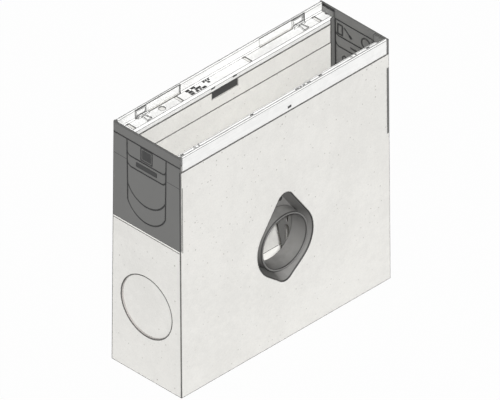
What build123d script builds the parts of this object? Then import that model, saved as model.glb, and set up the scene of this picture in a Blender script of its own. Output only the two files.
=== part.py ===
from build123d import *
import os

# Inlet box of a 100 mm channel drain: a cast fibre concrete sump with a folded steel rail on each
# long wall, a moulded plate with cut-out outlines in each end, and a pipe socket in one long side.
# Millimetres. +X runs along the box, +Y across it, +Z up; the origin is the middle of the base.

# Box
box_length = 500.0
box_height = 495.0
top_width = 160.0
side_draft = 4.0              # each long side leans out by this much down to the base
wall = 30.0                   # long walls, at the rails
corner_chamfer = 0.8

# Cavity
wall_step_depth = 68.7        # below the rail top, where the walls step in for the core's draft
wall_step = 1.0
cavity_taper = 1.0            # further narrowing of each side, down to the haunch
end_wall = 30.0               # below the end plates
end_taper = 5.0
floor_thickness = 40.0
haunch_height = 31.0
haunch_width = 22.0

# Blind cut-out marks in the end walls
knockout_radius = 60.4
knockout_depth = 4.0
knockout_height = 148.0

# Folded rails
sheet = 1.6
skirt_depth = 30.0            # outer skirt and inner lip both end this far down
rail_top_width = 5.2
ledge_depth = 18.4
fold_radius_top = 1.4         # radii on the middle of the sheet
fold_radius_ledge = 3.1
fold_radius_lip = 3.05
centre_mark = 0.5
joint_height = 1.0            # groove in the casting along the skirt's and the lip's lower edge
joint_depth = 1.0

# Latch pockets in the rails' inner walls, and what is punched in the ledges
pocket_from_end = 47.5
pocket_length = 108.0
pocket_top_depth = 2.4
anchor_slots_inlet = (27.0, 141.0)    # from the -X end
anchor_slots_outlet = (29.0, 195.5)   # from the +X end
anchor_slot_width = 6.0
anchor_slot_length = 17.5
ledge_feature_inset = 15.9    # slots and holes, from the outer side of the rail
anchor_tab_length = 14.0
drain_hole_radius = 6.0
end_notch_radius = 3.0
end_notch_from_end = 5.0

# Locking lugs on the ledges
lug_thickness = 1.8
lug_end_gap = 2.5             # from the end of the pocket
lug_gap = 0.6                 # behind the tongue, to the skirt
lug_tongue_width = 25.0
lug_tongue_top_depth = 4.0
lug_frame = 2.4               # raised rim round the tongue
lug_frame_height = 1.0
lug_bar_span = (6.2, 10.6)    # from the outer side of the rail
lug_bar_length = 27.0
lug_bar_height = 4.0
lug_neck_width = 7.0
lug_foot_width = 12.5
lug_foot_inner = 25.0
lug_rib_width = 1.6
lug_rib_height = 1.4

# Black tags that hang behind the lips
tag_x = -12.0
tag_length = 63.2
tag_thickness = 2.0
tag_top_depth = 22.4
tag_bottom_depth = 47.0
peg_shift = -2.7              # the pegs sit off the tag's middle
peg_width = 8.5
peg_height = 2.8
peg_depth = 23.5
peg_spacing = 52.0
peg_clearance = 0.1
tag_stem_width = 8.0
tag_stem_height = 4.5
tag_stem_depth = 22.8

# End plates
plate_thickness = 5.6
plate_skin = 2.4              # inside the deepest outline, and up to the top edge
plate_rim = 5.1               # further thickness between the walls
plate_depth = 193.7
plate_top_chamfer = 2.5
plate_feather = 3.2           # slope cut behind the inlet plate's side edges
plate_border = 4.0            # slope of the casting below the plate
plate_border_drop = 0.8
plate_step_depth = 4.8        # above this the plate is thin from rail to rail
band_depth = 21.3
score_width = 2.4
score_depth = 0.7
score_top_half = 46.8
score_low_half = 44.9
score_low_depth = 145.0
low_cut_depths = ((53.0, 9.0), (74.5, 10.0))
deep_cut_depths = (140.5, 174.0)
deep_cut_radius = 50.0
lap_width = 3.0
lap_depths = (30.0, 60.0)     # where the casting laps over the outlet plate's side edges

# Pipe socket in the -Y side
outlet_height = 199.0
bore_radius = 51.5
sleeve_radius = 56.0
sleeve_setback = 0.6
sleeve_crest = 1.4
socket_radius = 67.0
lobe_radius = 20.0
upper_lobe = 82.0
lower_lobe = 60.0
socket_edge = 1.0
recess_depth = 27.5
recess_slope = 8.0            # how far the recess closes in down to its floor
housing_slope = 5.0
fixing_hole_radius = 4.0
fixing_hole_depth = 4.0
fixing_hole_place = (15.4, 68.1)  # from the pipe's axis, one each side

# Guide cheeks on the inside of the socket
guide_plate = 3.0
cheek_thickness = 3.0
cheek_from_middle = 58.0
cheek_top = 262.0
cheek_bottom = 123.0
cheek_nose = 168.0
cheek_reach = 44.0
cheek_foot_reach = 33.0
cheek_corner = 3.0
cheek_slot_width = 9.0
cheek_slot_span = (142.0, 179.0)
cheek_hole_width = 6.0
cheek_hole_span = (184.0, 198.0)
cheek_slot_reach = 22.0

# Worked out from the sizes above
half_length = box_length / 2
half_width = top_width / 2
clear_half = half_width - wall
shoulder_z = box_height - skirt_depth
ledge_z = box_height - ledge_depth
wall_top_z = ledge_z - sheet
step_z = box_height - wall_step_depth
plate_z = box_height - plate_depth
haunch_z = floor_thickness + haunch_height
rail_half = half_length - plate_thickness
face_half = half_width + side_draft * (shoulder_z - outlet_height) / shoulder_z
pocket_end = half_length - pocket_from_end
pocket_middle = pocket_end - pocket_length / 2
anchor_slot_x = [distance - half_length for distance in anchor_slots_inlet]
anchor_slot_x += [half_length - distance for distance in anchor_slots_outlet]


def block(x, y, z):
    # A box given by its low and high value along each axis.
    place = Pos((x[0] + x[1]) / 2, (y[0] + y[1]) / 2, (z[0] + z[1]) / 2)
    return place * Box(x[1] - x[0], y[1] - y[0], z[1] - z[0])


def depth_span(upper, lower):
    # Heights between two depths below the rail top.
    return box_height - lower, box_height - upper


def both_ends(shape):
    return shape + mirror(shape, Plane.YZ)


def turned(shape):
    # The same piece on the other long wall.
    return Rot(0, 0, 180) * shape


def outer_form():
    base = Rectangle(box_length, top_width + 2 * side_draft)
    shoulder = Pos(0, 0, shoulder_z) * Rectangle(box_length, top_width)
    cast = loft([base, shoulder])
    edges = cast.edges().filter_by(lambda edge: edge.center().Z < shoulder_z - 1)
    cast = chamfer(edges, corner_chamfer)
    rim = block((-half_length, half_length), (-half_width, half_width), (shoulder_z, box_height))
    corners = rim.edges().filter_by(Axis.Z)
    return cast + chamfer(corners, corner_chamfer)


def cavity_half(z):
    # Half the clear width between the long walls below the step.
    rise = (z - haunch_z) / (step_z - haunch_z)
    return clear_half - wall_step - cavity_taper * (1 - rise)


def slab(z, half_x, half_y):
    return Pos(0, 0, z) * Rectangle(2 * half_x, 2 * half_y)


def cavity_form():
    # Everything that is open inside the walls, up to the ledges, with the end plates' seats.
    mouth = block((-rail_half, rail_half), (-clear_half, clear_half), (step_z, ledge_z))
    upper = loft([slab(step_z, rail_half, cavity_half(step_z)),
                  slab(plate_z, rail_half, cavity_half(plate_z))])
    end_half = half_length - end_wall
    lower = loft([slab(plate_z, end_half, cavity_half(plate_z)),
                  slab(haunch_z, end_half - end_taper, cavity_half(haunch_z))])
    sump = loft([slab(haunch_z, end_half - end_taper, cavity_half(haunch_z)),
                 slab(floor_thickness, end_half - end_taper - haunch_width,
                      cavity_half(haunch_z) - haunch_width)])
    return mouth + upper + lower + sump


def rail_section():
    # Middle line of the sheet: skirt, top, inner wall, ledge and lip.
    mid = sheet / 2
    skirt_y = half_width - mid
    inner_y = half_width - rail_top_width + mid
    lip_y = clear_half + mid
    line = FilletPolyline(
        (skirt_y, shoulder_z),
        (skirt_y, box_height - mid),
        (inner_y, box_height - mid),
        (inner_y, ledge_z - mid),
        (lip_y, ledge_z - mid),
        (lip_y, shoulder_z),
        radius=[fold_radius_top, fold_radius_top, fold_radius_ledge, fold_radius_lip],
    )
    return trace(line, line_width=sheet)


def ledge_cut(shape):
    return Pos(0, half_width - ledge_feature_inset, ledge_z - 2 * sheet) * extrude(shape, 3 * sheet)


def edge_rail():
    rail = extrude(Plane.YZ * rail_section(), amount=rail_half, both=True)
    inner_face = half_width - rail_top_width
    bend_end = inner_face - fold_radius_ledge + sheet / 2
    pocket = block((pocket_end - pocket_length, pocket_end),
                   (bend_end, inner_face + 1.2 * sheet),
                   depth_span(pocket_top_depth, ledge_depth + 1.2 * sheet))
    rail -= both_ends(pocket)
    slot = Rectangle(anchor_slot_width, anchor_slot_length)
    tab_y = half_width - ledge_feature_inset - anchor_slot_length / 2
    for x in anchor_slot_x:
        rail -= Pos(x, 0, 0) * ledge_cut(slot)
        rail += block((x - anchor_slot_width / 2 + 0.4, x + anchor_slot_width / 2 - 0.4),
                      (tab_y - sheet / 2, tab_y + sheet / 2),
                      (ledge_z - anchor_tab_length, ledge_z - sheet / 2))
    rail -= Pos(-pocket_middle, 0, 0) * ledge_cut(Circle(drain_hole_radius))
    rail -= Pos(half_length - end_notch_from_end, 0, 0) * ledge_cut(Circle(end_notch_radius))
    for side in (-1, 1):
        peg_x = tag_x + peg_shift + side * peg_spacing / 2
        rail -= block((peg_x - peg_width / 2, peg_x + peg_width / 2),
                      (clear_half - sheet, clear_half + 2 * sheet),
                      depth_span(peg_depth - peg_height / 2, peg_depth + peg_height / 2))
    rail -= block((tag_x - tag_stem_width / 2, tag_x + tag_stem_width / 2),
                  (half_width - 2 * sheet, half_width + sheet),
                  depth_span(tag_stem_depth - tag_stem_height / 2, tag_stem_depth + tag_stem_height / 2))
    rail -= block((-centre_mark / 2, centre_mark / 2),
                  (half_width - rail_top_width - 1, half_width + 1),
                  depth_span(-1, centre_mark / 2))
    return rail


def locking_lug():
    # A pressed steel lug: framed tongue upright in the latch pocket, bar before it, flared foot.
    end = pocket_end - lug_end_gap
    middle = end - lug_tongue_width / 2
    back_y = half_width - sheet - lug_gap
    front_y = back_y - lug_thickness
    bar_outer, bar_inner = (half_width - inset for inset in lug_bar_span)
    foot_y = half_width - lug_foot_inner
    top_z = ledge_z + lug_thickness
    tongue = (end - lug_tongue_width, end)
    tongue_top = box_height - lug_tongue_top_depth
    lug = block(tongue, (front_y, back_y), (ledge_z, tongue_top))
    frame = block(tongue, (front_y - lug_frame_height, front_y), (ledge_z, tongue_top))
    frame -= block((tongue[0] + lug_frame, tongue[1] - lug_frame), (front_y - 2 * lug_frame_height, front_y),
                   (ledge_z + lug_frame, tongue_top - lug_frame))
    lug += frame
    lug += block(tongue, (bar_inner, front_y), (ledge_z, top_z))
    bar = block((end - lug_bar_length, end - 1), (bar_inner, bar_outer), (ledge_z, ledge_z + lug_bar_height))
    lug += chamfer(bar.edges().filter_by(Axis.X).group_by(Axis.Z)[-1], lug_thickness / 2)
    neck = lug_neck_width / 2
    foot = lug_foot_width / 2
    flare = Polyline((middle - neck, bar_inner), (middle + neck, bar_inner), (middle + foot, foot_y),
                     (middle - foot, foot_y), close=True)
    lug += Pos(0, 0, ledge_z) * extrude(make_face(flare), lug_thickness)
    for side in (-1, 1):
        rib = Polyline((middle + side * (neck - lug_rib_width), bar_inner), (middle + side * neck, bar_inner),
                       (middle + side * foot, foot_y), (middle + side * (foot - lug_rib_width), foot_y), close=True)
        lug += Pos(0, 0, ledge_z) * extrude(make_face(rib), lug_thickness + lug_rib_height)
    return lug


def rail_tag():
    # Plate behind the lip, two pegs in the lip's holes and a stem through the wall to the skirt.
    back_y = clear_half + sheet + tag_thickness
    tag = block((tag_x - tag_length / 2, tag_x + tag_length / 2), (clear_half + sheet, back_y),
                depth_span(tag_top_depth, tag_bottom_depth))
    half_peg = peg_height / 2 - peg_clearance
    for side in (-1, 1):
        peg_x = tag_x + peg_shift + side * peg_spacing / 2
        tag += block((peg_x - peg_width / 2 + peg_clearance, peg_x + peg_width / 2 - peg_clearance),
                     (clear_half + peg_clearance, clear_half + sheet),
                     depth_span(peg_depth - half_peg, peg_depth + half_peg))
    return tag + tag_stem(peg_clearance)


def tag_stem(clearance):
    half_x = tag_stem_width / 2 - clearance
    half_z = tag_stem_height / 2 - clearance
    return block((tag_x - half_x, tag_x + half_x),
                 (clear_half + sheet + tag_thickness, half_width - peg_clearance),
                 depth_span(tag_stem_depth - half_z, tag_stem_depth + half_z))


def tag_room():
    # What the wall leaves open for one tag, up to the underside of the ledge.
    room = block((tag_x - tag_length / 2, tag_x + tag_length / 2),
                 (clear_half - 1, clear_half + sheet + tag_thickness),
                 (box_height - tag_bottom_depth, wall_top_z))
    return room + block((tag_x - tag_stem_width / 2, tag_x + tag_stem_width / 2),
                        (clear_half, half_width),
                        (box_height - tag_stem_depth - tag_stem_height / 2, wall_top_z))


def score_half(depth):
    # The outlines' sides lean in a little as they go down.
    share = (depth - band_depth) / (score_low_depth - band_depth)
    return score_top_half + (score_low_half - score_top_half) * share


def low_outline(bottom, corner, grow):
    half = score_half(bottom) + grow
    top = score_half(band_depth) + grow
    shape = make_face(Polyline((-top, -band_depth), (top, -band_depth), (half, -bottom - grow),
                               (-half, -bottom - grow), close=True))
    return fillet(shape.vertices().group_by(Axis.Y)[0], corner + grow)


def deep_outline(bottom, grow):
    # A flat-sided outline that ends in an arc about a centre on the middle line.
    centre = bottom - deep_cut_radius
    reach = (deep_cut_radius ** 2 - score_half(centre) ** 2) ** 0.5
    end_depth = centre + reach
    half = score_half(end_depth) + grow
    top = score_half(band_depth) + grow
    radius_point = (0, -bottom - grow)
    sides = Polyline((half, -end_depth), (top, -band_depth), (-top, -band_depth), (-half, -end_depth))
    arc = ThreePointArc((-half, -end_depth), radius_point, (half, -end_depth))
    return make_face(sides + arc)


def score_pattern():
    # Grooves along each cut-out outline, drawn from the rail top down, and the band line.
    half = score_width / 2
    lines = Pos(0, -band_depth) * Rectangle(top_width + 2 * side_draft, score_width)
    for bottom, corner in low_cut_depths:
        lines += low_outline(bottom, corner, half) - low_outline(bottom, corner, -half)
    for bottom in deep_cut_depths:
        lines += deep_outline(bottom, half) - deep_outline(bottom, -half)
    return lines


def plate_recess():
    # Behind the thin part of the +X plate: the deepest outline, the band above it and the top edge.
    inside = Plane(origin=(half_length - plate_skin, 0, box_height), x_dir=(0, 1, 0), z_dir=(1, 0, 0))
    shape = deep_outline(deep_cut_depths[-1], score_width / 2)
    shape += Pos(0, -band_depth / 2) * Rectangle(2 * score_half(band_depth) + score_width, band_depth)
    shape += Pos(0, -plate_step_depth / 2) * Rectangle(top_width - 2 * rail_top_width, plate_step_depth)
    return extrude(inside * shape, amount=-(plate_thickness + plate_rim))


def end_plate(cavity, outer):
    # The plate in the +X end: thick round its edges and between the walls, thin inside its outlines.
    ends = (rail_half, half_length)
    plate = block(ends, (-2 * half_width, 2 * half_width), (plate_z, box_height)) & outer
    top_edge = plate.edges().filter_by(Axis.Y).sort_by(Axis.Z)[-2:].sort_by(Axis.X)[-1]
    plate = chamfer(top_edge, plate_top_chamfer)
    rim = block((rail_half - plate_rim, rail_half), (-clear_half, clear_half), (plate_z, ledge_z)) & cavity
    return plate + rim - plate_recess()


def scored(plate):
    pattern = score_pattern()
    outside = Plane(origin=(half_length, 0, box_height), x_dir=(0, 1, 0), z_dir=(1, 0, 0))
    plate -= extrude(outside * pattern, amount=-score_depth)
    inside = Plane(origin=(half_length - plate_skin, 0, box_height), x_dir=(0, 1, 0), z_dir=(1, 0, 0))
    within = Pos(0, -plate_depth / 2) * Rectangle(2 * score_top_half + score_width, plate_depth)
    return plate - extrude(inside * (pattern & within), amount=score_depth)


def inlet_plate(cavity, outer):
    # Shaped in the +X end too. Its side edges are feathered, so the casting laps up to the corner.
    plate = end_plate(cavity, outer)
    edges = plate.edges().filter_by(lambda edge: edge.length > 100
                                    and abs(edge.center().X - rail_half) < 0.01
                                    and abs(edge.center().Y) > half_width - 2)
    return chamfer(edges, plate_feather)


def outlet_plate(cavity, outer):
    # The casting laps over a stretch of its side edges.
    plate = end_plate(cavity, outer)
    lap = block((rail_half - 1, half_length + 1), (half_width - lap_width, 2 * half_width),
                depth_span(*lap_depths))
    return plate - (lap + mirror(lap, Plane.XZ))


def socket_plane(depth):
    # Upright plane facing out of the -Y side, this far inside the face at the pipe's height.
    return Plane(origin=(0, depth - face_half, outlet_height), x_dir=(1, 0, 0), z_dir=(0, -1, 0))


def socket_outline(shrink):
    rims = Circle(socket_radius - shrink).edges()
    rims += (Pos(0, upper_lobe) * Circle(lobe_radius - shrink)).edges()
    rims += (Pos(0, -lower_lobe) * Circle(lobe_radius - shrink)).edges()
    return make_hull(rims)


def tapered(shrink, slope, depth):
    # The outline from outside the face to this depth, closing in evenly as it goes.
    ends = [socket_plane(place) * socket_outline(shrink + slope * place / recess_depth)
            for place in (-side_draft, depth)]
    return loft(ends, ruled=True)


def socket_housing(outer):
    sleeve = extrude(socket_plane(-side_draft) * Circle(sleeve_radius), amount=-(side_draft + 2 * wall))
    return (tapered(0, housing_slope, 1.5 * wall) + sleeve) & outer


def socket_recess():
    holes = Pos(*fixing_hole_place) * Circle(fixing_hole_radius)
    holes += mirror(holes, Plane.YZ)
    recess = tapered(socket_edge, recess_slope, recess_depth)
    return recess + extrude(socket_plane(recess_depth) * holes, amount=-fixing_hole_depth)


def socket_sleeve():
    # Turned profile: radius and depth, with a sloped crest.
    crest = sleeve_crest
    front = sleeve_setback
    back = face_half - clear_half + wall
    points = [(bore_radius, back), (bore_radius, front + crest), (bore_radius + crest, front),
              (sleeve_radius - crest, front), (sleeve_radius, front + crest), (sleeve_radius, back)]
    profile = make_face(Polyline(*[(radius, depth - face_half) for radius, depth in points], close=True))
    axis = Axis((0, 0, outlet_height), (0, 1, 0))
    return revolve(Pos(0, 0, outlet_height) * profile, axis)


def guide_cheek(wall_y):
    # One cheek in the YZ plane, with the slots that a trap's hooks drop into.
    nose = wall_y + cheek_reach
    foot = wall_y + cheek_foot_reach
    profile = make_face(Polyline((wall_y, cheek_top), (nose, cheek_top), (nose, cheek_nose),
                                 (foot, cheek_bottom), (wall_y, cheek_bottom), close=True))
    profile = chamfer(profile.vertices().sort_by(Axis.X)[2:], cheek_corner)
    slot_y = wall_y + cheek_slot_reach
    for span, width in ((cheek_slot_span, cheek_slot_width), (cheek_hole_span, cheek_hole_width)):
        middle = (span[0] + span[1]) / 2
        profile -= Pos(slot_y, middle) * Rot(0, 0, 90) * SlotOverall(span[1] - span[0], width)
    return Pos(cheek_from_middle, 0, 0) * extrude(Plane.YZ * profile, amount=cheek_thickness)


def pipe_socket(cavity, outer, bore):
    housing = socket_housing(outer) - socket_recess() - cavity
    housing += socket_sleeve() - cavity
    wall_y = -cavity_half(outlet_height)
    outer_edge = cheek_from_middle + cheek_thickness
    plate = block((-outer_edge, outer_edge), (wall_y - 1, wall_y + guide_plate),
                  (cheek_bottom, cheek_top)) & cavity
    cheeks = both_ends(guide_cheek(wall_y - 1)) & cavity
    return (housing + plate + cheeks) - bore


def knockouts():
    disc = extrude(Plane(origin=(half_length, 0, knockout_height), x_dir=(0, 1, 0), z_dir=(1, 0, 0))
                   * Circle(knockout_radius), amount=-knockout_depth)
    return both_ends(disc)


def joint_grooves():
    # Along the lower edges of one rail's skirt and lip.
    heights = (shoulder_z - joint_height, shoulder_z)
    outside = block((-rail_half, rail_half), (half_width - joint_depth, 2 * half_width), heights)
    inside = block((-rail_half, rail_half), (0, clear_half + joint_depth), heights)
    return outside + inside


def plate_borders():
    # The end face slopes in to the plate's lower edge.
    slope = make_face(Polyline((half_length + 1, plate_z), (half_length - plate_border_drop, plate_z),
                               (half_length, plate_z - plate_border), (half_length + 1, plate_z - plate_border),
                               close=True))
    return extrude(Plane.XZ * slope, amount=2 * half_width, both=True)


def concrete_body(cavity, outer, pieces):
    side = half_width - sheet
    lip = clear_half + sheet
    room = block((-half_length, half_length), (-2 * half_width, 2 * half_width),
                 (wall_top_z, box_height))
    skirt_room = block((-half_length, half_length), (side, 2 * half_width), (shoulder_z, box_height))
    lip_room = block((-half_length, half_length), (-lip, lip), (shoulder_z, box_height))
    body = outer - room - skirt_room - turned(skirt_room) - lip_room - cavity - knockouts()
    body -= tag_room() + turned(tag_room())
    joint = joint_grooves()
    body -= joint + turned(joint) + both_ends(plate_borders() + plate_recess())
    for piece in pieces:
        body -= piece
    return body


outer = outer_form()
cavity = cavity_form()
bore = extrude(socket_plane(-side_draft) * Circle(bore_radius), amount=-(side_draft + 2 * wall))
rail = edge_rail()
lug = locking_lug()
tag = rail_tag()
inlet_blank = inlet_plate(cavity, outer)
outlet_blank = outlet_plate(cavity, outer)
cast_in = [rail, turned(rail), mirror(inlet_blank, Plane.YZ), outlet_blank, socket_housing(outer), bore]

parts = {
    "concrete_body": concrete_body(cavity, outer, cast_in),
    "edge_rail_left": rail,
    "edge_rail_right": turned(rail),
    "end_plate_inlet": mirror(scored(inlet_blank), Plane.YZ),
    "end_plate_outlet": scored(outlet_blank),
    "pipe_socket": pipe_socket(cavity, outer, bore),
    "locking_lug_left_outlet": lug,
    "locking_lug_left_inlet": mirror(lug, Plane.YZ),
    "locking_lug_right_inlet": turned(lug),
    "locking_lug_right_outlet": turned(mirror(lug, Plane.YZ)),
    "rail_tag_left": tag,
    "rail_tag_right": turned(tag),
}

os.makedirs("parts", exist_ok=True)
for node, shape in parts.items():
    export_step(shape, f"parts/{node}.step")
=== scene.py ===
import math

import bmesh
import bpy
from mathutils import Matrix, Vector


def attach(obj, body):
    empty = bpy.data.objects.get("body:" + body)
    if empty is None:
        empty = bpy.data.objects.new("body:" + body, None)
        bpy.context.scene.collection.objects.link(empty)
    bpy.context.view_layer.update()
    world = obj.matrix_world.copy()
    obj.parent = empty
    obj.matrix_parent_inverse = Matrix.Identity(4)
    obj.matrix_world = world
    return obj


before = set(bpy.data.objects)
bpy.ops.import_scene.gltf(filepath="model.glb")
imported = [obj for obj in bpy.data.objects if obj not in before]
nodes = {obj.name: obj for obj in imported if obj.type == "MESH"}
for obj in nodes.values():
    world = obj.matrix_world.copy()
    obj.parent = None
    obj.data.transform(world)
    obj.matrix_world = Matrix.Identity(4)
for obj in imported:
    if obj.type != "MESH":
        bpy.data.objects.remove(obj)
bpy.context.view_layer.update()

print("frame loaded,", len(nodes), "nodes")

# Camera

view = {
    "azimuth": -45.0,
    "elevation": 35.264,              # a true isometric view
    "width": 0.8452,                  # metres across the picture
    "target": (0.0, 0.0026, 0.2435),
    "distance": 3.0,
}


def placeCamera():
    azimuth = math.radians(view["azimuth"])
    elevation = math.radians(view["elevation"])
    back = Vector((math.sin(azimuth) * math.cos(elevation),
                   -math.cos(azimuth) * math.cos(elevation),
                   math.sin(elevation)))
    lens = bpy.data.cameras.new("camera")
    lens.type = "ORTHO"
    lens.ortho_scale = view["width"]
    camera = bpy.data.objects.new("camera", lens)
    camera.location = Vector(view["target"]) + back * view["distance"]
    camera.rotation_euler = back.to_track_quat("Z", "Y").to_euler()
    bpy.context.scene.collection.objects.link(camera)
    bpy.context.scene.camera = camera


placeCamera()
bpy.context.scene.view_settings.view_transform = "Standard"
print("camera placed")

# Small helpers for node trees


def feed(tree, source, target):
    # A socket is linked, and a plain value is set.
    if isinstance(source, bpy.types.NodeSocket):
        tree.links.new(source, target)
    else:
        target.default_value = source


def addNode(tree, kind, values=None, **settings):
    made = tree.nodes.new(kind)
    for name, value in settings.items():
        setattr(made, name, value)
    for name, value in (values or {}).items():
        feed(tree, value, made.inputs[name])
    return made


def maths(tree, operation, first, second=0.0, clamp=False):
    made = addNode(tree, "ShaderNodeMath", operation=operation, use_clamp=clamp)
    feed(tree, first, made.inputs[0])
    feed(tree, second, made.inputs[1])
    return made.outputs[0]


def combine(tree, operation, values, clamp=False):
    total = values[0]
    for value in values[1:]:
        total = maths(tree, operation, total, value, clamp)
    return total


def allOf(tree, *masks):
    return combine(tree, "MULTIPLY", masks)


def anyOf(tree, *masks):
    return combine(tree, "ADD", masks, clamp=True)


def nearest(tree, *distances):
    return combine(tree, "MINIMUM", distances)


def minus(tree, first, second):
    return maths(tree, "SUBTRACT", first, second)


def size(tree, value):
    return maths(tree, "ABSOLUTE", value)


def above(tree, value, low):
    return maths(tree, "GREATER_THAN", value, low)


def below(tree, value, high):
    return maths(tree, "LESS_THAN", value, high)


def between(tree, value, low, high):
    return allOf(tree, above(tree, value, low), below(tree, value, high))


def around(tree, value, middle, half):
    return between(tree, value, middle - half, middle + half)


def radial(tree, first, second):
    # The distance that two offsets at right angles make.
    squares = [maths(tree, "MULTIPLY", offset, offset) for offset in (first, second)]
    return maths(tree, "SQRT", maths(tree, "ADD", *squares))


def remap(tree, value, low, high, outLow=0.0, outHigh=1.0):
    values = {"Value": value, "From Min": low, "From Max": high, "To Min": outLow, "To Max": outHigh}
    made = addNode(tree, "ShaderNodeMapRange", values, interpolation_type="SMOOTHSTEP")
    return made.outputs["Result"]


def mixColours(tree, factor, first, second, blend="MIX"):
    made = addNode(tree, "ShaderNodeMix", data_type="RGBA", blend_type=blend)
    feed(tree, factor, made.inputs[0])
    feed(tree, first, made.inputs[6])
    feed(tree, second, made.inputs[7])
    return made.outputs[2]


def paint(tree, colour, tone, mask, cover=1.0):
    # A tone laid over a colour where a mask is.
    return mixColours(tree, allOf(tree, mask, cover), colour, tone)


def noiseOn(tree, vector, scale, detail=3.0, rough=0.55):
    values = {"Vector": vector, "Scale": scale, "Detail": detail, "Roughness": rough}
    return addNode(tree, "ShaderNodeTexNoise", values).outputs["Fac"]


def splitAxes(tree, vector):
    return addNode(tree, "ShaderNodeSeparateXYZ", {"Vector": vector}).outputs


def ownPlace(tree):
    return addNode(tree, "ShaderNodeTexCoord").outputs["Object"]


def ownAxes(tree):
    return splitAxes(tree, ownPlace(tree))


def newGroup(name, inputs, outputs):
    group = bpy.data.node_groups.new(name, "ShaderNodeTree")
    for label, value in inputs.items():
        socket = group.interface.new_socket(name=label, in_out="INPUT", socket_type="NodeSocketFloat")
        socket.default_value = value
    for label in outputs:
        kind = "NodeSocketVector" if label == "Normal" else "NodeSocketFloat"
        group.interface.new_socket(name=label, in_out="OUTPUT", socket_type=kind)
    entry = group.nodes.new("NodeGroupInput")
    result = group.nodes.new("NodeGroupOutput")
    return group, entry.outputs, result.inputs


def useGroup(tree, group, **values):
    made = tree.nodes.new("ShaderNodeGroup")
    made.node_tree = group
    for name, value in values.items():
        made.inputs[name[0].upper() + name[1:]].default_value = value
    return made.outputs


# Shared effects


def buildEdgeShading():
    # Where an edge or crease is, from a rounded normal, broken up by noise: the mask for painted shade
    # along edges and in creases.
    group, entry, result = newGroup(
        "edgeShading", {"Radius": 0.001, "Scale": 60.0, "Amount": 1.0, "Breakup": 1.0, "Sharpness": 7.0},
        ("Mask", "Normal"))
    rounded = addNode(group, "ShaderNodeBevel", {"Radius": entry["Radius"]}, samples=6).outputs["Normal"]
    surface = addNode(group, "ShaderNodeNewGeometry")
    likeness = addNode(group, "ShaderNodeVectorMath", operation="DOT_PRODUCT")
    feed(group, rounded, likeness.inputs[0])
    feed(group, surface.outputs["Normal"], likeness.inputs[1])
    turn = minus(group, 1.0, likeness.outputs["Value"])
    bend = maths(group, "MULTIPLY", turn, entry["Sharpness"], clamp=True)
    patches = noiseOn(group, ownPlace(group), entry["Scale"], detail=4.0)
    missing = remap(group, patches, low=0.62, high=0.36)
    kept = minus(group, 1.0, allOf(group, missing, entry["Breakup"]))
    feed(group, allOf(group, bend, kept, entry["Amount"]), result["Mask"])
    feed(group, rounded, result["Normal"])
    return group


def buildOcclusionShade():
    # Painted shade from ambient occlusion where surfaces close in on each other: joints, grooves and feet
    # of ribs.
    group, entry, result = newGroup("occlusionShade", {"Distance": 0.004, "Start": 0.10, "End": 0.55}, ("Mask",))
    shade = addNode(group, "ShaderNodeAmbientOcclusion", {"Distance": entry["Distance"]}, samples=8)
    closed = minus(group, 1.0, shade.outputs["AO"])
    feed(group, remap(group, closed, entry["Start"], entry["End"]), result["Mask"])
    return group


def buildCastPores():
    # Uneven round pores and specks, one to a cell, in a share of the cells.
    group, entry, result = newGroup(
        "castPores", {"Scale": 40.0, "Size": 0.04, "Share": 0.5}, ("Mask", "Tone"))
    place = ownPlace(group)
    wander = addNode(group, "ShaderNodeTexNoise", {"Vector": place, "Scale": 400.0, "Detail": 2.0})
    shifted = addNode(group, "ShaderNodeMix", data_type="VECTOR")
    shifted.inputs[0].default_value = 0.0007      # a little, so that outlines aren't quite round
    feed(group, place, shifted.inputs[4])
    feed(group, wander.outputs["Color"], shifted.inputs[5])
    cells = addNode(group, "ShaderNodeTexVoronoi", {"Vector": shifted.outputs[1], "Scale": entry["Scale"]})
    parts = addNode(group, "ShaderNodeSeparateColor", {"Color": cells.outputs["Color"]}).outputs
    smallest = 0.35                               # added to each cell's own part of the size
    radius = allOf(group, entry["Size"], maths(group, "ADD", parts["Green"], smallest))
    core = remap(group, cells.outputs["Distance"], radius, allOf(group, radius, 0.5))
    feed(group, allOf(group, core, below(group, parts["Red"], entry["Share"])), result["Mask"])
    feed(group, parts["Blue"], result["Tone"])
    return group


def buildGrain():
    # Even noise at two sizes, about one half.
    group, entry, result = newGroup("grain", {"Coarse": 12.0, "Fine": 600.0, "Balance": 0.5}, ("Value",))
    place = ownPlace(group)
    coarse = noiseOn(group, place, entry["Coarse"], detail=4.0)
    coarsePart = allOf(group, coarse, minus(group, 1.0, entry["Balance"]))
    finePart = allOf(group, noiseOn(group, place, entry["Fine"], rough=0.65), entry["Balance"])
    feed(group, maths(group, "ADD", coarsePart, finePart), result["Value"])
    return group


def buildRolledZinc():
    # Spangle cells and fine lines along the rolling direction.
    group, entry, result = newGroup(
        "rolledZinc", {"Cells": 95.0, "Lines": 420.0}, ("Spangle", "Streak", "Bloom"))
    place = ownPlace(group)
    cells = addNode(group, "ShaderNodeTexVoronoi", {"Vector": place, "Scale": entry["Cells"]})
    parts = addNode(group, "ShaderNodeSeparateColor", {"Color": cells.outputs["Color"]}).outputs
    feed(group, parts["Red"], result["Spangle"])
    rolled = addNode(group, "ShaderNodeMapping", {"Vector": place, "Scale": (0.02, 1.0, 1.0)})
    feed(group, noiseOn(group, rolled.outputs["Vector"], entry["Lines"]), result["Streak"])
    feed(group, noiseOn(group, place, scale=14.0, detail=5.0, rough=0.6), result["Bloom"])
    return group


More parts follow.
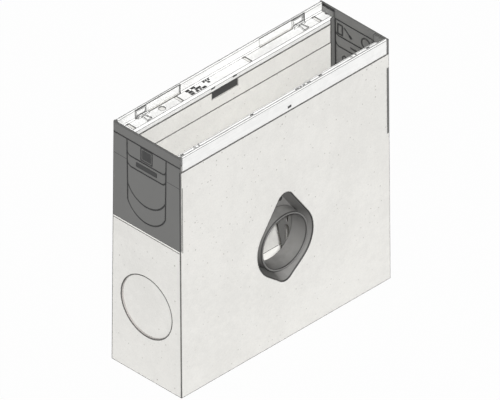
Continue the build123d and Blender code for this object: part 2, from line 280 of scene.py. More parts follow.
def buildUpwardPatches():
    # A film in patches on what faces up.
    group, entry, result = newGroup("upwardPatches", {"Scale": 30.0, "Amount": 0.5}, ("Mask",))
    surface = addNode(group, "ShaderNodeNewGeometry")
    upward = remap(group, splitAxes(group, surface.outputs["Normal"])["Z"], low=0.25, high=0.95)
    cloud = noiseOn(group, ownPlace(group), entry["Scale"], detail=5.0)
    patches = remap(group, cloud, low=0.38, high=0.68)
    feed(group, allOf(group, upward, patches, entry["Amount"]), result["Mask"])
    return group


# Painted shade lines along the rails' bends and round the punched openings

railShape = {
    "outer": 0.0800,                  # across, from the middle of the box
    "inner": 0.0748,
    "lip": 0.0500,
    "top": 0.4950,
    "ledge": 0.4766,
    "topBend": 0.0022,
    "ledgeBend": 0.0023,
    "lipBend": 0.00385,
}
punched = {
    "across": 0.0641,                 # the middle of what is punched in the ledge
    "slots": (-0.2230, -0.1090, 0.0545, 0.2210),
    "slotHalf": (0.0030, 0.00875),    # along and across
    "hole": -0.1485,
    "holeRadius": 0.0060,
    "pockets": (-0.1485, 0.1485),
    "pocketHeight": 0.4846,
    "pocketHalf": (0.0540, 0.0090),   # along and up
    "wallReach": (0.0735, 0.0770),
    "ledgeReach": (0.4750, 0.4770),
}


def foldPlaces():
    # Across and up, where each bend of the sheet begins and ends.
    rail = railShape
    return (
        (rail["outer"], rail["top"] - rail["topBend"]),
        (rail["outer"] - rail["topBend"], rail["top"]),
        (rail["inner"] + rail["topBend"], rail["top"]),
        (rail["inner"], rail["top"] - rail["topBend"]),
        (rail["inner"], rail["ledge"] + rail["ledgeBend"]),
        (rail["inner"] - rail["ledgeBend"], rail["ledge"]),
        (rail["lip"] + rail["lipBend"], rail["ledge"]),
        (rail["lip"], rail["ledge"] - rail["lipBend"]),
    )


def fineLine(tree, apart, width, core):
    # 1 within the core, a share of the line's half width, and fading out to its edge.
    half = allOf(tree, width, 0.5)
    return remap(tree, apart, half, allOf(tree, half, core))


def buildFoldShadeLines():
    # Fine lines of painted shade along the rails, where each bend begins and ends.
    group, entry, result = newGroup("foldShadeLines", {"Width": 0.0009}, ("Mask",))
    axes = ownAxes(group)
    side = size(group, axes["Y"])
    apart = []
    for across, up in foldPlaces():
        apart.append(radial(group, minus(group, side, across), minus(group, axes["Z"], up)))
    feed(group, fineLine(group, nearest(group, *apart), entry["Width"], core=0.5), result["Mask"])
    return group


def rimDistance(tree, first, second, centre, half):
    # How far a point is from the rim of a rectangle.
    sides = []
    for value, middle, reach in zip((first, second), centre, half):
        sides.append(minus(tree, size(tree, minus(tree, value, middle)), reach))
    return size(tree, maths(tree, "MAXIMUM", *sides))


def buildPunchRimShade():
    # Fine lines of painted shade round what is punched in the ledge and round the pockets, the same on
    # both rails.
    group, entry, result = newGroup("punchRimShade", {"Width": 0.0010}, ("Mask",))
    axes = ownAxes(group)
    along = allOf(group, axes["X"], maths(group, "SIGN", axes["Y"]))
    across = size(group, axes["Y"])
    up = axes["Z"]
    middle = punched["across"]
    fromHole = radial(group, minus(group, along, punched["hole"]), minus(group, across, middle))
    onLedge = [size(group, minus(group, fromHole, punched["holeRadius"]))]
    for place in punched["slots"]:
        onLedge.append(rimDistance(group, along, across, (place, middle), punched["slotHalf"]))
    onWall = []
    for place in punched["pockets"]:
        centre = (place, punched["pocketHeight"])
        onWall.append(rimDistance(group, along, up, centre, punched["pocketHalf"]))
    ledgeRims = fineLine(group, nearest(group, *onLedge), entry["Width"], core=0.6)
    wallRims = fineLine(group, nearest(group, *onWall), entry["Width"], core=0.6)
    ledge = allOf(group, ledgeRims, between(group, up, *punched["ledgeReach"]))
    wall = allOf(group, wallRims, between(group, across, *punched["wallReach"]))
    feed(group, anyOf(group, ledge, wall), result["Mask"])
    return group


edgeShading = buildEdgeShading()
occlusionShade = buildOcclusionShade()
castPores = buildCastPores()
grain = buildGrain()
rolledZinc = buildRolledZinc()
foldShadeLines = buildFoldShadeLines()
punchRimShade = buildPunchRimShade()
upwardPatches = buildUpwardPatches()
print("shared effects built")

# What the materials share

white = (1.0, 1.0, 1.0)
roughSpan = (0.3, 0.7)                # the part of the grain over which roughness changes
squareNormal = 0.9                    # a face is square to an axis above this part of its normal
longSide = {
    "atFloor": 0.0840,                # half the width of the box
    "lean": 0.0086,                   # how much it loses for each metre up
}


def newMaterial(name, roughness, metallic=0.0):
    material = bpy.data.materials.new(name)
    material.use_nodes = True
    shader = material.node_tree.nodes["Principled BSDF"]
    shader.inputs["Roughness"].default_value = roughness
    shader.inputs["Metallic"].default_value = metallic
    return material, material.node_tree, shader.inputs


def opaque(colour):
    return (*colour, 1.0)


def shaded(colour, factor):
    return opaque([part * factor for part in colour])


def toned(colour, factors):
    return [shaded(colour, factor) for factor in factors]


def roughen(tree, shader, texture, look):
    low, high = [look["roughness"] + change for change in look["roughChange"]]
    feed(tree, remap(tree, texture, *roughSpan, low, high), shader["Roughness"])


def addBump(tree, shader, height, normal, look):
    values = {"Strength": look["bumpStrength"], "Distance": look["bump"], "Height": height,
              "Normal": normal}
    feed(tree, addNode(tree, "ShaderNodeBump", values).outputs["Normal"], shader["Normal"])


def trueNormal(tree):
    return addNode(tree, "ShaderNodeNewGeometry").outputs["True Normal"]


def facingEnds(tree):
    # 1 on faces that look along the box.
    return above(tree, size(tree, splitAxes(tree, trueNormal(tree))["X"]), squareNormal)


def sideAt(tree, up):
    # How far from the middle the long sides are, at a height.
    return minus(tree, longSide["atFloor"], allOf(tree, up, longSide["lean"]))


# Concrete

concreteLook = {
    "colour": (0.775, 0.765, 0.735),
    "clouds": {"coarse": 9.0, "fine": 70.0, "balance": 0.4},
    "cloudSpan": (0.36, 0.64),
    "cloudTones": (0.965, 1.03),
    "sand": {"coarse": 260.0, "fine": 1100.0, "balance": 0.6},
    "sandSpan": (0.34, 0.66),
    "sandTones": (0.955, 1.035),
    "specks": {"scale": 90.0, "size": 0.13, "share": 0.9},
    "speck": (0.36, 0.34, 0.31),
    "paleSpeck": 0.86,                # a share of the concrete's colour
    "speckCover": 0.9,
    "pinholes": {"scale": 120.0, "size": 0.085, "share": 0.35},
    "pinholeCover": 0.4,
    "edgeShade": {"radius": 0.0027, "scale": 90.0, "amount": 1.0, "breakup": 0.3},
    "edge": (0.07, 0.068, 0.065),
    "edgeShadeCover": 0.66,
    "lineCover": 0.94,
    "recess": (0.41, 0.385, 0.37),
    "joint": {"distance": 0.005, "start": 0.18, "end": 0.75},
    "jointTone": 0.45,                # a share of the specks' colour
    "jointCover": 0.55,
    "roughness": 0.86,
    "roughChange": (-0.08, 0.08),
    "bump": 0.00022,
    "bumpStrength": 0.6,
}
concreteLines = {                     # places in metres, |x|, |y| and z
    "half": 0.0008,                   # half the width of a line
    "stepHeight": 0.4263,             # where the long walls step in
    "stepHalf": 0.00072,
    "stepReach": 0.0506,
    "haunchHeight": 0.0710,           # where the sump's floor begins to close in
    "haunchHalf": 0.00048,
    "jointHeights": (0.4622, 0.4651),
    "seamHeights": (0.4740, 0.4760),  # on the top of the casting, beside the ledges
    "seamReach": (0.0725, 0.0762),
    "borderHeights": (0.3013, 0.2973),
    "endFace": 0.2485,
    "lapPlace": -0.2448,
    "lapHeights": (0.2973, 0.4313),
    "sideFace": 0.0785,
    "cornerReach": (0.245, 0.076),
    "footHeight": 0.0017,
    "sideLine": 0.0021,
    "knockoutHeight": 0.148,
    "knockoutRadius": 0.0604,
    "knockoutDepth": (0.2461, 0.24985),
    "knockoutRim": (-0.0008, 0.00176),
}


def knockoutWallShade(tree, along, fromKnockout):
    # Painted shade on the narrow wall round each cut-out mark.
    lines = concreteLines
    depth = between(tree, along, *lines["knockoutDepth"])
    inside = below(tree, fromKnockout, lines["knockoutRadius"] + lines["half"])
    return allOf(tree, depth, inside, minus(tree, 1.0, facingEnds(tree)))


def outerCorners(tree, outer, fromKnockout):
    # 1 on the small chamfers of the outer corners, where painted shade goes.
    tilt = addNode(tree, "ShaderNodeVectorMath", operation="ABSOLUTE")
    feed(tree, trueNormal(tree), tilt.inputs[0])
    parts = splitAxes(tree, tilt.outputs["Vector"])
    largest = combine(tree, "MAXIMUM", (parts["X"], parts["Y"], parts["Z"]))
    outside = above(tree, fromKnockout, concreteLines["knockoutRadius"] + concreteLines["half"])
    return allOf(tree, below(tree, largest, squareNormal), outside, outer)


def seamAndShadeLines(tree, axes, fromKnockout):
    # Fine dark lines. The rails' joints and seams and the borders and the lap of the inlet plate are real
    # joints; the lines along the core's step and the haunch inside, round the rims of the cut-out marks,
    # at the foot, beside the end faces' sides and on the outer corners are painted shade.
    lines = concreteLines
    half = lines["half"]
    along = size(tree, axes["X"])
    across = size(tree, axes["Y"])
    up = axes["Z"]
    onEnd = above(tree, along, lines["endFace"])
    farAlong = above(tree, along, lines["cornerReach"][0])
    outer = anyOf(tree, farAlong, above(tree, across, lines["cornerReach"][1]))
    inside = below(tree, across, lines["stepReach"])
    rimSpan = [lines["knockoutRadius"] + reach for reach in lines["knockoutRim"]]
    step = around(tree, up, lines["stepHeight"], lines["stepHalf"])
    haunch = around(tree, up, lines["haunchHeight"], lines["haunchHalf"])
    seam = between(tree, up, *lines["seamHeights"])
    lap = around(tree, axes["X"], lines["lapPlace"], half)
    lapSpan = between(tree, up, *lines["lapHeights"])
    found = [
        allOf(tree, step, inside),
        allOf(tree, haunch, inside, minus(tree, 1.0, farAlong)),
        between(tree, up, *lines["jointHeights"]),
        allOf(tree, seam, between(tree, across, *lines["seamReach"])),
        allOf(tree, lap, lapSpan, above(tree, across, lines["sideFace"])),
        allOf(tree, between(tree, fromKnockout, *rimSpan), onEnd),
        allOf(tree, below(tree, up, lines["footHeight"]), outer),
        allOf(tree, below(tree, minus(tree, sideAt(tree, up), across), lines["sideLine"]), onEnd),
        outerCorners(tree, outer, fromKnockout),
    ]
    for height in lines["borderHeights"]:
        found.append(allOf(tree, around(tree, up, height, half), onEnd))
    return anyOf(tree, *found)


def concreteFinish():
    look = concreteLook
    material, tree, shader = newMaterial("castConcrete", look["roughness"])
    clouds = useGroup(tree, grain, **look["clouds"])["Value"]
    sand = useGroup(tree, grain, **look["sand"])["Value"]
    specks = useGroup(tree, castPores, **look["specks"])
    pinholes = useGroup(tree, castPores, **look["pinholes"])
    edgeShade = useGroup(tree, edgeShading, **look["edgeShade"])
    joint = useGroup(tree, occlusionShade, **look["joint"])["Mask"]
    axes = ownAxes(tree)
    fromKnockout = radial(tree, axes["Y"], minus(tree, axes["Z"], concreteLines["knockoutHeight"]))
    cloudTones = toned(look["colour"], look["cloudTones"])
    base = mixColours(tree, remap(tree, clouds, *look["cloudSpan"]), *cloudTones)
    sanded = mixColours(tree, remap(tree, sand, *look["sandSpan"]), *toned(white, look["sandTones"]))
    colour = mixColours(tree, 1.0, base, sanded, "MULTIPLY")
    paleSpeck = shaded(look["colour"], look["paleSpeck"])
    speckTone = mixColours(tree, specks["Tone"], opaque(look["speck"]), paleSpeck)
    colour = paint(tree, colour, speckTone, specks["Mask"], look["speckCover"])
    colour = paint(tree, colour, opaque(look["speck"]), pinholes["Mask"], look["pinholeCover"])
    # painted shade along the edges and in the creases
    colour = paint(tree, colour, opaque(look["edge"]), edgeShade["Mask"], look["edgeShadeCover"])
    # painted shade on the walls round the cut-out marks
    recess = knockoutWallShade(tree, size(tree, axes["X"]), fromKnockout)
    colour = paint(tree, colour, opaque(look["recess"]), recess)
    # dark lines: real joints and seams, and painted shade along creases, edges and corners
    drawn = seamAndShadeLines(tree, axes, fromKnockout)
    colour = paint(tree, colour, opaque(look["edge"]), drawn, look["lineCover"])
    # painted shade where surfaces close in
    colour = paint(tree, colour, shaded(look["speck"], look["jointTone"]), joint, look["jointCover"])
    feed(tree, colour, shader["Base Color"])
    roughen(tree, shader, sand, look)
    height = minus(tree, sand, maths(tree, "ADD", specks["Mask"], pinholes["Mask"]))
    addBump(tree, shader, height, edgeShade["Normal"], look)
    return material


# Galvanised sheet

zincLook = {
    "colour": (0.895, 0.895, 0.885),
    "sheet": {"cells": 95.0, "lines": 420.0},
    "tones": (0.975, 1.02),           # of the spangle, and of the lines
    "lineSpan": (0.35, 0.65),
    "bloomSpan": (0.45, 0.75),
    "bloomTone": 0.93,
    "bloomCover": 0.22,
    "upwardPatches": {"scale": 26.0, "amount": 0.45},
    "film": (0.66, 0.655, 0.64),
    "edgeShade": {"scale": 140.0, "amount": 1.0, "breakup": 0.15},
    "edge": (0.05, 0.05, 0.05),
    "foldWidth": 0.0015,
    "foldCover": 0.85,
    "rimWidth": 0.0020,
    "rimCover": 0.95,
    "joint": {"distance": 0.0035, "start": 0.22, "end": 0.8},
    "jointTone": (0.10, 0.10, 0.10),
    "jointCover": 0.8,
    "roughness": 0.58,
    "spangleDull": 0.06,
    "bloomDull": 0.12,
    "metallic": 0.15,
    "bump": 0.00004,
    "bumpStrength": 0.35,
}
railEdges = {"radius": 0.0016, "sharpness": 12.0}
lugEdges = {"radius": 0.0022, "sharpness": 30.0}


def zincFinish(name, edges, edgeCover, folded):
    look = zincLook
    material, tree, shader = newMaterial(name, look["roughness"], look["metallic"])
    sheet = useGroup(tree, rolledZinc, **look["sheet"])
    edgeShade = useGroup(tree, edgeShading, **look["edgeShade"], **edges)
    joint = useGroup(tree, occlusionShade, **look["joint"])["Mask"]
    film = useGroup(tree, upwardPatches, **look["upwardPatches"])["Mask"]
    edge = opaque(look["edge"])
    spangle = mixColours(tree, sheet["Spangle"], *toned(look["colour"], look["tones"]))
    streak = remap(tree, sheet["Streak"], *look["lineSpan"])
    lines = mixColours(tree, streak, *toned(white, look["tones"]))
    colour = mixColours(tree, 1.0, spangle, lines, "MULTIPLY")
    bloom = remap(tree, sheet["Bloom"], *look["bloomSpan"])
    colour = paint(tree, colour, shaded(look["colour"], look["bloomTone"]), bloom, look["bloomCover"])
    # darker in patches on the faces that look up
    colour = paint(tree, colour, opaque(look["film"]), film)
    # painted shade along the sheet's edges and in its creases
    colour = paint(tree, colour, edge, edgeShade["Mask"], edgeCover)
    if folded:
        # painted shade lines where the bends begin and end
        foldShade = useGroup(tree, foldShadeLines, width=look["foldWidth"])["Mask"]
        colour = paint(tree, colour, edge, foldShade, look["foldCover"])
        # painted shade round the punched openings and the pockets
        rimShade = useGroup(tree, punchRimShade, width=look["rimWidth"])["Mask"]
        colour = paint(tree, colour, edge, rimShade, look["rimCover"])
    # painted shade where surfaces close in
    colour = paint(tree, colour, opaque(look["jointTone"]), joint, look["jointCover"])
    feed(tree, colour, shader["Base Color"])
    dullParts = (allOf(tree, sheet["Spangle"], look["spangleDull"]), allOf(tree, bloom, look["bloomDull"]))
    feed(tree, combine(tree, "ADD", (*dullParts, look["roughness"])), shader["Roughness"])
    addBump(tree, shader, sheet["Streak"], edgeShade["Normal"], look)
    return material


# Moulded plastic

plasticLook = {
    "grain": {"coarse": 18.0, "fine": 900.0, "balance": 0.45},
    "grainSpan": (0.38, 0.62),
    "grainTones": (0.955, 1.045),
    "scuffs": {"scale": 55.0, "size": 0.10, "share": 0.18},
    "scuffTone": 1.5,
    "scuffCover": 0.25,
    "upwardPatches": {"scale": 40.0, "amount": 0.4},
    "film": (0.60, 0.59, 0.56),
    "filmCover": 0.25,
    "edgeShade": {"scale": 80.0, "amount": 1.0, "breakup": 0.25},
    "edgeShadeCover": 0.85,
    "joint": {"distance": 0.004, "start": 0.14, "end": 0.7},
    "jointTone": 0.16,
    "jointCover": 0.8,
    "roughChange": (-0.07, 0.08),
    "bump": 0.00006,
    "bumpStrength": 0.3,
}
plateLook = {
    "colour": (0.148, 0.148, 0.144),
    "edges": {"radius": 0.0022, "sharpness": 13.0},
    "edgeTone": 0.10,
    "jointCover": 0.85,
    "roughness": 0.58,
}
plateLines = {                        # places in metres, |x|, |y| and z
    "grooves": ((0.2490, 0.2496), (0.2480, 0.2486)),    # the floors of the outlines
    "shadeTone": (0.010, 0.010, 0.010),
    "stepHeights": (0.4880, 0.4905),  # where the plate is thick below its top edge
    "stepReach": (0.2438, 0.2475),
    "topEdge": 0.4926,
    "topReach": 0.2475,
    "topTone": 0.55,
    "outerFace": 0.2495,
    "creaseHeights": (0.4306, 0.4318),
    "creaseReach": 0.0478,
    "creaseCover": 0.8,
    "sideTop": 0.4650,
    "sideLine": 0.0020,
    "sideCover": 0.85,
}
markLook = {
    "colour": (0.022, 0.022, 0.022),
    "edges": {"radius": 0.0010, "sharpness": 7.0},
    "edgeTone": 0.5,
    "roughness": 0.5,
}
socketLook = {
    "colour": (0.178, 0.175, 0.169),
    "edges": {"radius": 0.0012, "sharpness": 24.0},
    "edgeTone": 0.3,
    "roughness": 0.55,
}
socketLines = {                       # places in metres, x, y and z
    "tone": 0.12,
    "cover": 0.9,
    "axisHeight": 0.199,
    "rimDepth": 0.0022,
    "rimFrom": 0.060,                 # from the bore's axis
    "crestRings": ((0.0508, 0.0523), (0.0550, 0.0564)),
    "crestFront": -0.0787,
    "screwPlace": (0.0154, 0.2671),
    "screwRadius": 0.0043,
    "screwDepth": (-0.0549, -0.0500),
}
tagLook = {
    "colour": (0.055, 0.055, 0.056),
    "edges": {"radius": 0.0012, "sharpness": 7.0},
    "edgeTone": 1.6,
    "roughness": 0.45,
}


def plateShadeLines(tree, colour, look):
    # Painted shade in the outlines' grooves and the step behind the top edge, on the top edge's slope, in
    # the shallow line where the casting begins to lap over the plate, and where it meets the plate's
    # sides.
    lines = plateLines
    axes = ownAxes(tree)
    along = size(tree, axes["X"])
    across = size(tree, axes["Y"])
    up = axes["Z"]
    floors = anyOf(tree, *[between(tree, along, low, high) for low, high in lines["grooves"]])
    stepReach = between(tree, along, *lines["stepReach"])
    thick = allOf(tree, stepReach, between(tree, up, *lines["stepHeights"]))
    oneSide = above(tree, allOf(tree, axes["X"], axes["Y"]), 0.0)
    grooves = anyOf(tree, allOf(tree, floors, facingEnds(tree)), allOf(tree, thick, oneSide))
    slope = allOf(tree, above(tree, up, lines["topEdge"]), above(tree, along, lines["topReach"]))
    outer = above(tree, along, lines["outerFace"])
    beside = above(tree, across, lines["creaseReach"])
    crease = allOf(tree, between(tree, up, *lines["creaseHeights"]), beside, outer)
    nearSide = below(tree, minus(tree, sideAt(tree, up), across), lines["sideLine"])
    side = allOf(tree, nearSide, outer, below(tree, up, lines["sideTop"]))
    # painted shade in the grooves, the step, the slope, the crease and along the sides
    shadeTone = opaque(lines["shadeTone"])
    colour = paint(tree, colour, shadeTone, grooves)
    colour = paint(tree, colour, shaded(look["colour"], lines["topTone"]), slope)
    colour = paint(tree, colour, shadeTone, crease, lines["creaseCover"])
    return paint(tree, colour, shadeTone, side, lines["sideCover"])


def socketShadeLines(tree, colour, look):
    # Painted shade along the outer rim, on both sides of the crest and in the two blind screw holes.
    lines = socketLines
    axes = ownAxes(tree)
    reach = radial(tree, axes["X"], minus(tree, axes["Z"], lines["axisHeight"]))
    depth = maths(tree, "ADD", sideAt(tree, axes["Z"]), axes["Y"])
    rim = allOf(tree, below(tree, depth, lines["rimDepth"]), above(tree, reach, lines["rimFrom"]))
    rings = anyOf(tree, *[between(tree, reach, low, high) for low, high in lines["crestRings"]])
    crest = allOf(tree, rings, below(tree, axes["Y"], lines["crestFront"]))
    aside = minus(tree, size(tree, axes["X"]), lines["screwPlace"][0])
    fromScrew = radial(tree, aside, minus(tree, axes["Z"], lines["screwPlace"][1]))
    screwDepth = between(tree, axes["Y"], *lines["screwDepth"])
    screws = allOf(tree, below(tree, fromScrew, lines["screwRadius"]), screwDepth)
    # painted shade on the rim, beside the crest and in the screw holes
    shadeTone = shaded(look["colour"], lines["tone"])
    return paint(tree, colour, shadeTone, anyOf(tree, rim, crest, screws), lines["cover"])


def plasticFinish(name, pieceLook, addShadeLines=None):
    look = {**plasticLook, **pieceLook}
    material, tree, shader = newMaterial(name, look["roughness"])
    texture = useGroup(tree, grain, **look["grain"])["Value"]
    scuffs = useGroup(tree, castPores, **look["scuffs"])["Mask"]
    edgeShade = useGroup(tree, edgeShading, **look["edgeShade"], **look["edges"])
    joint = useGroup(tree, occlusionShade, **look["joint"])["Mask"]
    film = useGroup(tree, upwardPatches, **look["upwardPatches"])["Mask"]
    grainTones = toned(look["colour"], look["grainTones"])
    scuffTone, edgeTone, jointTone = toned(
        look["colour"], (look["scuffTone"], look["edgeTone"], look["jointTone"]))
    colour = mixColours(tree, remap(tree, texture, *look["grainSpan"]), *grainTones)
    colour = paint(tree, colour, scuffTone, scuffs, look["scuffCover"])
    colour = paint(tree, colour, opaque(look["film"]), film, look["filmCover"])
    # painted shade along edges and in creases; on the tag the tone is lighter instead
    colour = paint(tree, colour, edgeTone, edgeShade["Mask"], look["edgeShadeCover"])
    # painted shade where surfaces close in
    colour = paint(tree, colour, jointTone, joint, look["jointCover"])
    if addShadeLines:
        colour = addShadeLines(tree, colour, look)
    feed(tree, colour, shader["Base Color"])
    roughen(tree, shader, texture, look)
    addBump(tree, shader, texture, edgeShade["Normal"], look)
    return material


# Printed ink

inkLook = {
    "grain": {"coarse": 200.0, "fine": 1400.0, "balance": 0.5},
    "grainSpan": (0.4, 0.62),
    "tones": (0.01, 0.03),
    "roughness": 0.6,
}


def inkFinish():
    material, tree, shader = newMaterial("printedInk", inkLook["roughness"])
    texture = useGroup(tree, grain, **inkLook["grain"])["Value"]
    worn = remap(tree, texture, *inkLook["grainSpan"])
    feed(tree, mixColours(tree, worn, *toned(white, inkLook["tones"])), shader["Base Color"])
    return material


finishes = {
    "concrete": concreteFinish(),
    "rail": zincFinish("zincSheet", railEdges, edgeCover=0.85, folded=True),
    "lug": zincFinish("pressedZinc", lugEdges, edgeCover=1.0, folded=False),
    "plate": plasticFinish("platePlastic", plateLook, plateShadeLines),
    "mark": plasticFinish("markPlastic", markLook),
    "socket": plasticFinish("socketPlastic", socketLook, socketShadeLines),
    "tag": plasticFinish("tagPlastic", tagLook),
    "ink": inkFinish(),
}
nodeFinish = {                        # by how a node's name starts
    "concrete_body": "concrete",
    "edge_rail": "rail",
    "end_plate": "plate",
    "pipe_socket": "socket",
    "locking_lug": "lug",
    "rail_tag": "tag",
}
for nodeName, nodeObject in nodes.items():
    finish = next(key for start, key in nodeFinish.items() if nodeName.startswith(start))
    nodeObject.data.materials.clear()
    nodeObject.data.materials.append(finishes[finish])
print("materials on the frame's nodes")

# Raised and printed marks, flat prisms with bevelled rims

prism = {
    "rimAngle": 0.8,                  # radians, an edge that turns more than this is bevelled
    "bevelSteps": 2,
    "cornerSteps": 4,                 # to a quarter turn
    "circleSteps": 40,
}


def prismMesh(name, outline, holes, toWorld, height, bevel):
    # outline and holes are lists of (across, up); toWorld places (across, up, out).
    mesh = bmesh.new()
    edges = []
    for loop in [outline] + holes:
        ring = [mesh.verts.new(toWorld(across, up, 0.0)) for across, up in loop]
        edges += [mesh.edges.new((ring[i], ring[(i + 1) % len(ring)])) for i in range(len(ring))]
    filled = bmesh.ops.triangle_fill(mesh, use_beauty=True, use_dissolve=True, edges=edges)
    faces = [item for item in filled["geom"] if isinstance(item, bmesh.types.BMFace)]
    raised = bmesh.ops.extrude_face_region(mesh, geom=faces)
    verts = [item for item in raised["geom"] if isinstance(item, bmesh.types.BMVert)]
    out = Vector(toWorld(0.0, 0.0, 1.0)) - Vector(toWorld(0.0, 0.0, 0.0))
    bmesh.ops.translate(mesh, verts=verts, vec=out * height)
    bmesh.ops.recalc_face_normals(mesh, faces=mesh.faces[:])
    if bevel:
        top = set(verts)
        rim = [edge for edge in mesh.edges if edge.verts[0] in top and edge.verts[1] in top
               and edge.calc_face_angle(0.0) > prism["rimAngle"]]
        bmesh.ops.bevel(mesh, geom=rim, offset=bevel, segments=prism["bevelSteps"], profile=0.5,
                        affect="EDGES")
    data = bpy.data.meshes.new(name)
    mesh.to_mesh(data)
    mesh.free()
    piece = bpy.data.objects.new(name, data)
    bpy.context.scene.collection.objects.link(piece)
    return piece


def finishPiece(piece, finish):
    piece.data.materials.append(finishes[finish])
    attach(piece, "root")


def rectangle(acrossSpan, upSpan, corner=0.0):
    (left, right), (low, high) = acrossSpan, upSpan
    if not corner:
        return [(left, low), (right, low), (right, high), (left, high)]
    centres = ((right - corner, high - corner, 0), (left + corner, high - corner, 90),
               (left + corner, low + corner, 180), (right - corner, low + corner, 270))
    points = []
    for across, up, start in centres:
        for step in range(prism["cornerSteps"] + 1):
            angle = math.radians(start + 90 / prism["cornerSteps"] * step)
            points.append((across + corner * math.cos(angle), up + corner * math.sin(angle)))
    return points


def circle(centre, radius, count):
    across, up = centre
    turns = [2 * math.pi * i / count for i in range(count)]
    return [(across + radius * math.cos(turn), up + radius * math.sin(turn)) for turn in turns]


def slanted(start, end, width):
    along = Vector((end[0] - start[0], end[1] - start[1])).normalized()
    side = Vector((-along.y, along.x)) * width / 2
    return [(start[0] - side.x, start[1] - side.y), (end[0] - side.x, end[1] - side.y),
            (end[0] + side.x, end[1] + side.y), (start[0] + side.x, start[1] + side.y)]


def shrunk(spans, amount):
    return [(low + amount, high - amount) for low, high in spans]


# Plain fields on the outside of both end plates, and small marks on their inside.
# Across is y, up is the depth below the rail top.

plateMarks = {
    "face": 0.2500,
    "innerFace": 0.2476,
    "raise": 0.0006,
    "middleRaise": 0.00036,
    "bevel": 0.0002,
    "field": ((-0.0145, 0.0145), (0.0225, 0.0500)),
    "fieldRim": 0.0022,
    "fieldCorners": (0.0012, 0.0006),
    "middleGap": 0.0020,
    "bar": ((-0.0250, 0.0250), (0.0585, 0.0680)),
    "barCorner": 0.0015,
    "window": ((0.0278, 0.0418), (0.0273, 0.0498)),
    "windowCorner": 0.0008,
    "windowRim": 0.0030,
    "stroke": ((0.0253, 0.0303), (0.0078, 0.0443)),
    "strokeWidth": 0.0030,
    "strokeHead": ((0.0128, 0.0403), (0.0070, 0.0450)),
    "headWidth": 0.0046,
    "ring": (-0.0269, 0.0378),
    "ringRadii": (0.0117, 0.0087),
    "dash": ((-0.0042, 0.0098), (0.0628, 0.0660)),
    "smallRing": (0.0238, 0.0938),
    "smallRadii": (0.0062, 0.0038),
    "smallSteps": 28,
}


def onPlate(side, out):
    # side is -1 for the inlet end and 1 for the outlet end, out is 1 outside and -1 inside.
    face = plateMarks["face"] if out > 0 else plateMarks["innerFace"]

    def toWorld(across, up, height):
        return (side * (face + out * height), across, railShape["top"] - up)
    return toWorld


def addPlateMarks(side, end):
    look = plateMarks
    outside = onPlate(side, 1)
    inside = onPlate(side, -1)
    inset = shrunk(look["field"], look["fieldRim"])
    middle = shrunk(inset, look["middleGap"])
    pane = shrunk(look["window"], look["windowRim"])
    outerCorner, innerCorner = look["fieldCorners"]
    ring = [circle(look["ring"], radius, prism["circleSteps"]) for radius in look["ringRadii"]]
    smallRing = [circle(look["smallRing"], radius, look["smallSteps"]) for radius in look["smallRadii"]]
    marks = (
        ("field", outside, rectangle(*look["field"], outerCorner), [rectangle(*inset, innerCorner)]),
        ("field_middle", outside, rectangle(*middle, innerCorner), []),
        ("bar", outside, rectangle(*look["bar"], look["barCorner"]), []),
        ("window", inside, rectangle(*look["window"], look["windowCorner"]), [rectangle(*pane)]),
        ("stroke", inside, slanted(*look["stroke"], look["strokeWidth"]), []),
        ("stroke_head", inside, slanted(*look["strokeHead"], look["headWidth"]), []),
        ("ring", inside, ring[0], ring[1:]),
        ("dash", inside, rectangle(*look["dash"]), []),
        ("small_ring", inside, smallRing[0], smallRing[1:]),
    )
    for label, toWorld, outline, holes in marks:
        height = look["middleRaise"] if label == "field_middle" else look["raise"]
        piece = prismMesh(f"plate_{label}_{end}", outline, holes, toWorld, height, look["bevel"])
        finishPiece(piece, "mark")


addPlateMarks(-1, "inlet")
addPlateMarks(1, "outlet")
print("plate marks added")

# Rows of plain printed dashes on each ledge

ledgePrint = {
    "thickness": 0.00006,
    "height": 0.0053,
    "spread": 0.0012,                 # added to each end of a dash
    "rows": (                         # the place across the box, then the dashes' ends along it
        (0.0698, ((-0.0855, -0.0795), (-0.0730, -0.0660), (-0.0452, -0.0425), (-0.0390, -0.0377),
                  (-0.0342, -0.0318))),
        (0.0639, ((-0.0840, -0.0770), (-0.0690, -0.0580), (-0.0391, -0.0364))),
        (0.0580, ((-0.0845, -0.0780), (-0.0715, -0.0680), (-0.0630, -0.0610), (-0.0570, -0.0504))),
    ),
}


def addLedgePrint(side, name):
    look = ledgePrint

    def onLedge(along, across, out):
        return (side * along, side * across, railShape["ledge"] + out)

    dashes = [(place, span) for place, spans in look["rows"] for span in spans]
    for count, (place, (start, end)) in enumerate(dashes):
        width = (place - look["height"] / 2, place + look["height"] / 2)
        length = (start - look["spread"], end + look["spread"])
        label = f"ledge_dash_{name}_{count}"
        piece = prismMesh(label, rectangle(length, width), [], onLedge, look["thickness"], bevel=0.0)
        finishPiece(piece, "ink")


addLedgePrint(1, "left")
addLedgePrint(-1, "right")
print("ledge print added")

# Floor, world and lamps

studio = {
    "ambient": 0.16,
    "keyDirection": (-0.545, -0.584, 0.602),
    "keyStrength": 4.2,
    "keyAngle": 3.0,
    "fillDirection": (0.55, 0.80, 0.22),
    "fillStrength": 1.8,
    "fillAngle": 60.0,
    "floorSize": 6.0,
    "floorDrop": 0.0003,
    "floorColour": (0.30, 0.30, 0.30),
    "floorWhite": 0.98,
}


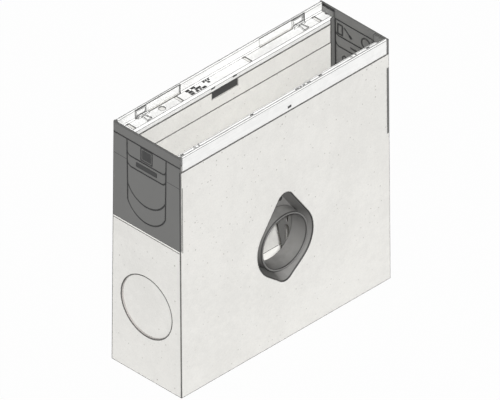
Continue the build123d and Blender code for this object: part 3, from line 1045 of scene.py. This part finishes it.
def throughLens(tree):
    # 1 for what the camera, a reflection or a clear surface sees, 0 for light that falls on things.
    path = addNode(tree, "ShaderNodeLightPath").outputs
    return anyOf(tree, path["Is Camera Ray"], path["Is Glossy Ray"], path["Is Transmission Ray"])


def lightStudio():
    world = bpy.data.worlds.new("studio")
    world.use_nodes = True
    tree = world.node_tree
    background = tree.nodes["Background"]
    background.inputs["Color"].default_value = opaque(white)
    strength = remap(tree, throughLens(tree), 0.0, 1.0, studio["ambient"], 1.0)
    feed(tree, strength, background.inputs["Strength"])
    bpy.context.scene.world = world
    for name in ("key", "fill"):
        lamp = bpy.data.lights.new(name + "Sun", "SUN")
        lamp.energy = studio[name + "Strength"]
        lamp.angle = math.radians(studio[name + "Angle"])
        sun = bpy.data.objects.new(name + "Sun", lamp)
        sun.rotation_euler = Vector(studio[name + "Direction"]).to_track_quat("Z", "Y").to_euler()
        bpy.context.scene.collection.objects.link(sun)


def floorFinish():
    # Matt for the light, near white for the camera.
    material = bpy.data.materials.new("paleFloor")
    material.use_nodes = True
    tree = material.node_tree
    tree.nodes.remove(tree.nodes["Principled BSDF"])
    matt = addNode(tree, "ShaderNodeBsdfDiffuse", {"Color": opaque(studio["floorColour"])})
    glow = addNode(tree, "ShaderNodeEmission", {"Color": opaque(white), "Strength": 1.0})
    seen = allOf(tree, throughLens(tree), studio["floorWhite"])
    mix = addNode(tree, "ShaderNodeMixShader", {"Fac": seen})
    feed(tree, matt.outputs["BSDF"], mix.inputs[1])
    feed(tree, glow.outputs["Emission"], mix.inputs[2])
    feed(tree, mix.outputs["Shader"], tree.nodes["Material Output"].inputs["Surface"])
    return material


def layFloor():
    mesh = bmesh.new()
    bmesh.ops.create_grid(mesh, x_segments=1, y_segments=1, size=studio["floorSize"] / 2)
    data = bpy.data.meshes.new("floor")
    mesh.to_mesh(data)
    mesh.free()
    data.materials.append(floorFinish())
    floor = bpy.data.objects.new("floor", data)
    floor.location.z = -studio["floorDrop"]
    bpy.context.scene.collection.objects.link(floor)


lightStudio()
layFloor()
print("studio lit")
